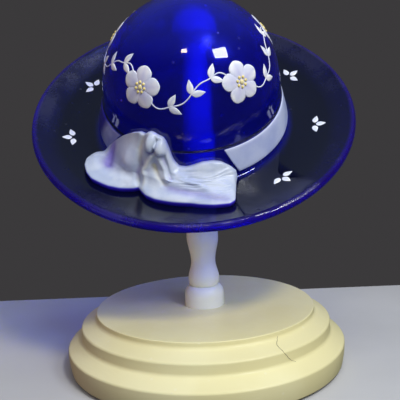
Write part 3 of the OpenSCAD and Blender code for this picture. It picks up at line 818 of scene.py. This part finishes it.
# Brush strokes: least half width, height of the underside as a share, and width of the fold
STROKE_TIP, STROKE_UNDER, STROKE_FOLD = 0.04, 0.4, 0.25


def stroke(length, width, thick, full=0.8, blunt=1.0, bend=0.0, rows=24, cols=12):
    """A brush stroke along y: a flat closed spindle whose half width is a power of a sine of the way.

    More full puts the widest part further along, and less blunt than 1 rounds both ends. Its fold is a bell
    about the middle of its width.
    """
    u = (1 - np.cos(np.pi * np.linspace(0, 1, rows)[:, None])) / 2
    turn = np.radians(np.linspace(0, 360, cols, endpoint=False))
    half = np.maximum(width / 2 * np.clip(np.sin(np.pi * u ** full), 0, 1) ** blunt, STROKE_TIP)
    x = bend * u ** 2 + half * np.cos(turn)
    arch = np.where(np.sin(turn) > 0, np.sin(turn), STROKE_UNDER * np.sin(turn))
    shape = np.broadcast_arrays(x, length * u, thick * arch * np.sqrt(half / half.max()))
    return np.stack(shape, -1), np.exp(-(np.cos(turn) / STROKE_FOLD) ** 2) + 0 * u


def dot(radius, thick):
    """A small round drop."""
    shape, _ = stroke(2 * radius, 2 * radius, thick, full=1.0, blunt=0.5, rows=10)
    return shape - np.array([0, radius, 0])


def shifted(shape, x, y, turn):
    """A flat shape turned about its start, anticlockwise, and moved."""
    c, s = math.cos(math.radians(turn)), math.sin(math.radians(turn))
    return np.stack([c * shape[..., 0] - s * shape[..., 1] + x, s * shape[..., 0] + c * shape[..., 1] + y,
                     shape[..., 2]], -1)


def on_dome(shape, angle, latitude):
    """A flat shape laid on the dome: each point goes its distance along a great circle from the middle."""
    a, b = math.radians(angle), math.radians(latitude)
    out = np.array([math.sin(a) * math.cos(b), -math.cos(a) * math.cos(b), math.sin(b)])
    right = np.array([math.cos(a), math.sin(a), 0])
    up = np.cross(out, right)
    far = np.hypot(shape[..., 0], shape[..., 1])[..., None] / DOME_R
    flat = (shape[..., :1] * right + shape[..., 1:2] * up) / DOME_R
    return (DOME_R + shape[..., 2:]) * (np.cos(far) * out + np.sinc(far / np.pi) * flat)


def on_brim(shape, angle, radius):
    """A flat shape laid on the brim: x round the axis, y outwards, z off the upper face."""
    t = (np.clip(radius + shape[..., 1], ROOT_R, BRIM_R - LIP_R) - ROOT_R) / BRIM_RUN
    face, under = brim_face(t, 1), brim_face(t, -1)
    place = face + (face - under) / GLASS_T * shape[..., 2:]
    return on_circle(angle + np.degrees(shape[..., 0] / radius), place[..., 0], place[..., 1])


# Garland on the dome with its blossoms and leaves, and sprigs on the brim
GARLAND_LATITUDE, GARLAND_SWING, GARLAND_WIGGLE, WIGGLES = 30.0, 9.0, 0.9, 4
VINE_HALF_W, VINE_HALF_T, VINE_SHADE = 0.34, 0.26, 0.25
BLOSSOMS, BLOSSOM_FIRST = 5, 36.0
PETALS, PETAL_LENGTH, PETAL_WIDTH, PETAL_LIFT = 5, 10.5, 8.8, 0.05
PETAL_SHADE, FOLD_SHADE, LEAF_SHADE, SPRIG_SHADE = 0.8, 0.35, 0.5, 0.4
HEART_DOTS, HEART_RING, HEART_LIFT = 7, 2.4, 0.3
DOT_R, DOT_T, DOT_YELLOW = 0.75, 0.55, 1.0
HEART_R, HEART_T, HEART_YELLOW = 1.2, 0.7, 0.8
LEAF_LENGTH, LEAF_WIDTH, PAINT_T = 7.0, 3.4, 0.3
LEAF_PLACES, LEAF_OPEN, LEAF_BEND = (0.3, 0.5, 0.7), 52.0, 0.8
SPRIG_RADIUS, SPRIG_STEP, SPRIG_FROM, SPRIG_TO = 67.0, 40.0, 40.0, 280.0
SPRIG_SIZE, SPRIG_OPEN, SPRIG_GAP = 0.8, 72.0, 1.4


def garland(angle):
    """Latitude of the wavy vine: one swing between neighbouring blossoms and a small quick wiggle."""
    turn = np.radians(BLOSSOMS * (np.asarray(angle, float) - BLOSSOM_FIRST))
    return GARLAND_LATITUDE - GARLAND_SWING * np.sin(turn) + GARLAND_WIGGLE * np.sin(WIGGLES * turn)


def vine_skin():
    """The vine: a fine tube whose middle follows the garland's line over the dome."""
    angle = np.linspace(0, 360, 900, endpoint=False)
    b = np.radians(garland(angle))
    middle = DOME_R * on_circle(angle, np.cos(b), np.sin(b))
    out = middle / DOME_R
    ahead = np.roll(middle, -1, 0) - np.roll(middle, 1, 0)
    across = np.cross(out, ahead / np.linalg.norm(ahead, axis=1, keepdims=True))
    turn = np.radians(np.linspace(0, 360, 8, endpoint=False))[:, None]
    ring = VINE_HALF_W * np.cos(turn) * across[:, None] + VINE_HALF_T * np.sin(turn) * out[:, None]
    return tube(middle[:, None] + ring, closed=True)


def painted_skin(shapes):
    """Placed strokes as one skin, with how shaded and how yellow each point is."""
    skin = joined([tube(points) for points, _, _ in shapes])
    shades = [np.ravel(shade) for _, shade, _ in shapes]
    hearts = [np.full(points.shape[0] * points.shape[1], heart) for points, _, heart in shapes]
    return skin, {"shade": np.concatenate(shades), "heart": np.concatenate(hearts)}


def blossoms():
    """Five-petalled blossoms on the garland, each with a ring of yellow dots at its heart."""
    petal, fold = stroke(PETAL_LENGTH, PETAL_WIDTH, PAINT_T, full=1.5, blunt=0.6)
    towards = 1 - petal[:, :1, 1] / PETAL_LENGTH
    shade = np.clip(PETAL_SHADE * towards + FOLD_SHADE * fold, 0, 1)
    drop = dot(DOT_R, DOT_T) + [0, 0, HEART_LIFT]
    heart = dot(HEART_R, HEART_T) + [0, 0, HEART_LIFT]
    plain = np.zeros(drop.shape[:2])
    shapes = []
    for angle in BLOSSOM_FIRST + 360 / BLOSSOMS * np.arange(BLOSSOMS):
        latitude = float(garland(angle))
        for turn in 360 / PETALS * np.arange(PETALS):
            placed = shifted(petal, 0, 0, turn) + [0, 0, PETAL_LIFT]
            shapes.append((on_dome(placed, angle, latitude), shade, 0.0))
        for turn in np.radians(360 / HEART_DOTS * np.arange(HEART_DOTS)):
            placed = shifted(drop, HEART_RING * math.cos(turn), HEART_RING * math.sin(turn), 0)
            shapes.append((on_dome(placed, angle, latitude), plain, DOT_YELLOW))
        shapes.append((on_dome(heart, angle, latitude), plain, HEART_YELLOW))
    return painted_skin(shapes)


def garland_leaves():
    """Pairs of leaves along the vine, three pairs between neighbouring blossoms."""
    leaf, vein = stroke(LEAF_LENGTH, LEAF_WIDTH, PAINT_T, full=0.75, bend=LEAF_BEND)
    places = np.add.outer(np.arange(BLOSSOMS), LEAF_PLACES).ravel()
    shapes = []
    for angle in BLOSSOM_FIRST + 360 / BLOSSOMS * places:
        latitude = float(garland(angle))
        rise = float(garland(angle + 0.5) - garland(angle - 0.5))
        heading = math.degrees(math.atan2(rise, math.cos(math.radians(latitude))))
        for way in (1, -1):
            placed = shifted(leaf * [way, 1, 1], 0, 0, heading - 90 + way * LEAF_OPEN)
            shapes.append((on_dome(placed, angle, latitude), LEAF_SHADE * vein, 0.0))
    return painted_skin(shapes)


def brim_sprigs():
    """Sprigs of three leaves at even steps round the brim, each leaf a little apart from the next."""
    leaf, vein = stroke(LEAF_LENGTH * SPRIG_SIZE, LEAF_WIDTH, PAINT_T, full=0.7)
    leaf = leaf + [0, SPRIG_GAP, 0]
    shapes = []
    for angle in np.arange(SPRIG_FROM, SPRIG_TO + 1, SPRIG_STEP):
        for turn in (-SPRIG_OPEN, 0, SPRIG_OPEN):
            placed = on_brim(shifted(leaf, 0, 0, turn), angle, SPRIG_RADIUS)
            shapes.append((placed, SPRIG_SHADE * vein, 0.0))
    return painted_skin(shapes)


# Crack across the base's middle step: angle and height of its corners, its size, height and quickness of the
# sines that it wanders by, and the way that the ledge under it faces
CRACK = np.array([[35.1, 29.2], [34.0, 27.8], [31.9, 26.6], [31.9, 24.4], [34.2, 21.3], [36.0, 18.9],
                  [38.0, 17.8]])
CRACK_HALF, CRACK_DEPTH, CRACK_TIP = 0.15, 0.5, 0.06
CRACK_WIGGLES = ((0.12, 2.6), (0.06, 7.1))
CRACK_FACE_R, CRACK_FACE_Z = 0.8, 0.6


def crack_skin(profile):
    """A hairline tube along the crack's corners, half sunk in the base's outline, thinning at its ends.

    Small sines make it wander, and its half width is the root of a sine of the way.
    """
    s = np.linspace(0, len(CRACK) - 1, 90)
    angle, z = [np.interp(s, np.arange(len(CRACK)), column) for column in CRACK.T]
    angle = angle + sum(high * np.sin(quick * s) for high, quick in CRACK_WIGGLES)
    rising = profile[(profile[:, 0] >= PLATE_R) & (profile[:, 1] > FELT_T)]
    middle = on_circle(angle, np.interp(z, rising[:, 1], rising[:, 0]), z)
    ahead = np.gradient(middle, axis=0)
    ahead /= np.linalg.norm(ahead, axis=1, keepdims=True)
    across = np.cross(ahead, on_circle(angle, CRACK_FACE_R, np.full(len(z), CRACK_FACE_Z)))
    across /= np.linalg.norm(across, axis=1, keepdims=True)
    half = CRACK_HALF * np.sqrt(np.sin(np.pi * np.linspace(CRACK_TIP, 1 - CRACK_TIP, len(z))))
    turn = np.radians(np.linspace(0, 360, 8, endpoint=False))[:, None]
    rise = np.cross(across, ahead)
    ring = np.cos(turn) * across[:, None] + CRACK_DEPTH * np.sin(turn) * rise[:, None]
    return tube(middle[:, None] + half[:, None, None] * ring)


def dressed(skin):
    """A skin drawn in the hat's own frame, put into the hat's place."""
    return in_hat(skin[0]), skin[1]


# Pieces

glass = cobalt_glass()
pearl = pearl_enamel()
lilac = band_enamel()
brushed = painted_enamel()
cream_paint = painted_wood("cream_paint", (0.80, 0.75, 0.45), (0.76, 0.70, 0.39), (0.86, 0.83, 0.64))
white_paint = painted_wood("white_paint", (0.88, 0.89, 0.74), (0.83, 0.84, 0.69), (0.91, 0.92, 0.82))
dark_felt = wool_felt("dark_felt", (0.10, 0.11, 0.10), (0.24, 0.25, 0.22))
white_felt = wool_felt("white_felt", (0.58, 0.56, 0.49), (0.74, 0.72, 0.65))
steel = plated_steel()

SEGMENTS, SPINDLE_SEGMENTS = 288, 128
outline = base_profile()
base = add_piece("base", lathe(outline, SEGMENTS), "stand", "base_paint", cream_paint, ["base"])
add_piece("base_crack", crack_skin(outline), "stand", "base_paint", dark_crack())
add_piece("spindle", lathe(spindle_profile(), SPINDLE_SEGMENTS), "stand", "spindle_paint", white_paint,
          ["spindle"])

outline = glass_profile()
add_piece("glass_hat", dressed(lathe(outline, SEGMENTS)), "hat", "cobalt_glass", glass, ["glass_hat"],
          **glass_marks(outline, SEGMENTS))
# Painted shade: the rope takes the brim's nearly black tint, so that it shows as a dark line round the crown.
add_piece("hat_rope", dressed(rope_skin()), "hat", "cobalt_glass", glass,
          brim=1.0, rim=0.0, lip=0.0, inside=0.0)
skin, marks = band_skin()
add_piece("hat_band", dressed(skin), "hat", "pearl_enamel", lilac, ["hat_band"], **marks)
skin, marks = bow_skin()
add_piece("bow", dressed(skin), "hat", "pearl_enamel", pearl, ["bow"], **marks)
add_piece("garland_vine", dressed(vine_skin()), "hat", "pearl_enamel", brushed, shade=VINE_SHADE,
          heart=0.0)
for name, (skin, marks) in (("garland_blossoms", blossoms()), ("garland_leaves", garland_leaves()),
                            ("brim_sprigs", brim_sprigs())):
    add_piece(name, dressed(skin), "hat", "pearl_enamel", brushed, **marks)

for node, material in (("base_felt", dark_felt), ("felt_cap", white_felt), ("spindle_screw", steel)):
    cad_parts[node].data.materials.clear()
    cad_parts[node].data.materials.append(material)


# Studio

FLOOR_BACK, FLOOR_FRONT, FLOOR_HALF = 126.0, -420.0, 620.0
LENS, SENSOR = 59.4, 36.0
CAMERA_FAR, CAMERA_LOOK_Z, CAMERA_LOOK_X = 366.05, 91.1, -0.454
CAMERA_DOWN, CAMERA_ROLL = 0.151, -0.040
LIGHT_AIM = Vector((0, -0.01, 0.12))
ROOM, CEILING, CEILING_FROM = (0.044, 0.042, 0.044), (0.17, 0.21, 0.28), 0.3
LIGHT_FAR = 0.9

# Soft boxes: angle right of the front, height angle, width, height, watts, colour, and whether gloss shows it
LIGHTS = (("window", 41.5, 33.4, 0.25, 0.17, 3.0, (0.93, 0.97, 1.0), True),
          ("lamp", -8.4, 39.3, 0.10, 0.07, 0.6, (1.0, 0.80, 0.52), True),
          ("key", 27.0, 47.0, 0.14, 0.14, 4.4, (1.0, 0.98, 0.90), False),
          ("sky", 25.0, 72.0, 0.40, 0.40, 2.2, (0.66, 0.76, 1.0), False),
          ("fill", 18.0, 8.0, 0.45, 0.30, 0.80, (0.98, 1.0, 0.90), False),
          ("warm side", -92.0, 2.0, 0.30, 0.30, 0.9, (1.0, 0.40, 0.10), False),
          ("cool side", -45.0, -2.0, 0.30, 0.30, 1.0, (0.56, 0.68, 1.0), False))


def add_floor():
    """A plain pale table top: one flat face under the stand, which throws no light back at it."""
    corners = [(-FLOOR_HALF, FLOOR_FRONT, 0), (FLOOR_HALF, FLOOR_FRONT, 0),
               (FLOOR_HALF, FLOOR_BACK, 0), (-FLOOR_HALF, FLOOR_BACK, 0)]
    mesh = bpy.data.meshes.new("floor")
    mesh.from_pydata((np.array(corners) * MM).tolist(), [], [(0, 1, 2, 3)])
    floor = bpy.data.objects.new("floor", mesh)
    bpy.context.scene.collection.objects.link(floor)
    material, nodes, links, shader, where = start_material("pale_floor")
    set_plain(shader, Metallic=0.0, Roughness=0.7)
    cloud = use(nodes, links, mottle, where, Scale=9.0)
    links.new(blend(nodes, links, cloud, (0.50, 0.50, 0.51), (0.54, 0.54, 0.55)), shader.inputs["Base Color"])
    mesh.materials.append(material)
    floor.visible_glossy = floor.visible_diffuse = False


def add_light(name, azimuth, height, width, tall, watts, colour, mirrored):
    """A soft box at an angle right of the front and above the horizon, turned to the object."""
    data = bpy.data.lights.new(name, "AREA")
    data.shape = "RECTANGLE"
    data.size, data.size_y = width, tall
    data.energy, data.color = watts, colour
    light = bpy.data.objects.new(name, data)
    bpy.context.scene.collection.objects.link(light)
    a, b = math.radians(azimuth), math.radians(height)
    way = Vector((math.sin(a) * math.cos(b), -math.cos(a) * math.cos(b), math.sin(b)))
    light.location = LIGHT_AIM + way * LIGHT_FAR
    light.rotation_mode = "QUATERNION"
    light.rotation_quaternion = way.to_track_quat("Z", "Y")
    light.visible_glossy = mirrored


def add_camera():
    """The camera looks down at a point on the stand's axis, rolled a little."""
    data = bpy.data.cameras.new("camera")
    data.lens, data.sensor_width = LENS, SENSOR
    camera = bpy.data.objects.new("camera", data)
    bpy.context.scene.collection.objects.link(camera)
    back = Vector((0, -math.cos(CAMERA_DOWN), math.sin(CAMERA_DOWN)))
    right = Vector((1, 0, 0))
    up = back.cross(right)
    c, s = math.cos(CAMERA_ROLL), math.sin(CAMERA_ROLL)
    axes = Matrix((c * right + s * up, c * up - s * right, back)).transposed()
    place = (Vector((CAMERA_LOOK_X, 0, CAMERA_LOOK_Z)) + CAMERA_FAR * back) * MM
    camera.matrix_world = Matrix.Translation(place) @ axes.to_4x4()
    bpy.context.scene.camera = camera


def add_world():
    """A dark room that brightens smoothly towards a pale ceiling, by the height of the direction."""
    world = bpy.data.worlds.new("room")
    world.use_nodes = True
    nodes, links = world.node_tree.nodes, world.node_tree.links
    parts = nodes.new("ShaderNodeSeparateXYZ")
    links.new(nodes.new("ShaderNodeTexCoord").outputs["Generated"], parts.inputs[0])
    height = spread(nodes, links, parts.outputs["Z"], CEILING_FROM, 1.0)
    links.new(blend(nodes, links, height, ROOM, CEILING), nodes["Background"].inputs["Color"])
    bpy.context.scene.world = world


add_floor()
base.visible_glossy = False
for box in LIGHTS:
    add_light(*box)
add_world()
add_camera()
bpy.context.scene.view_settings.view_transform = "Standard"
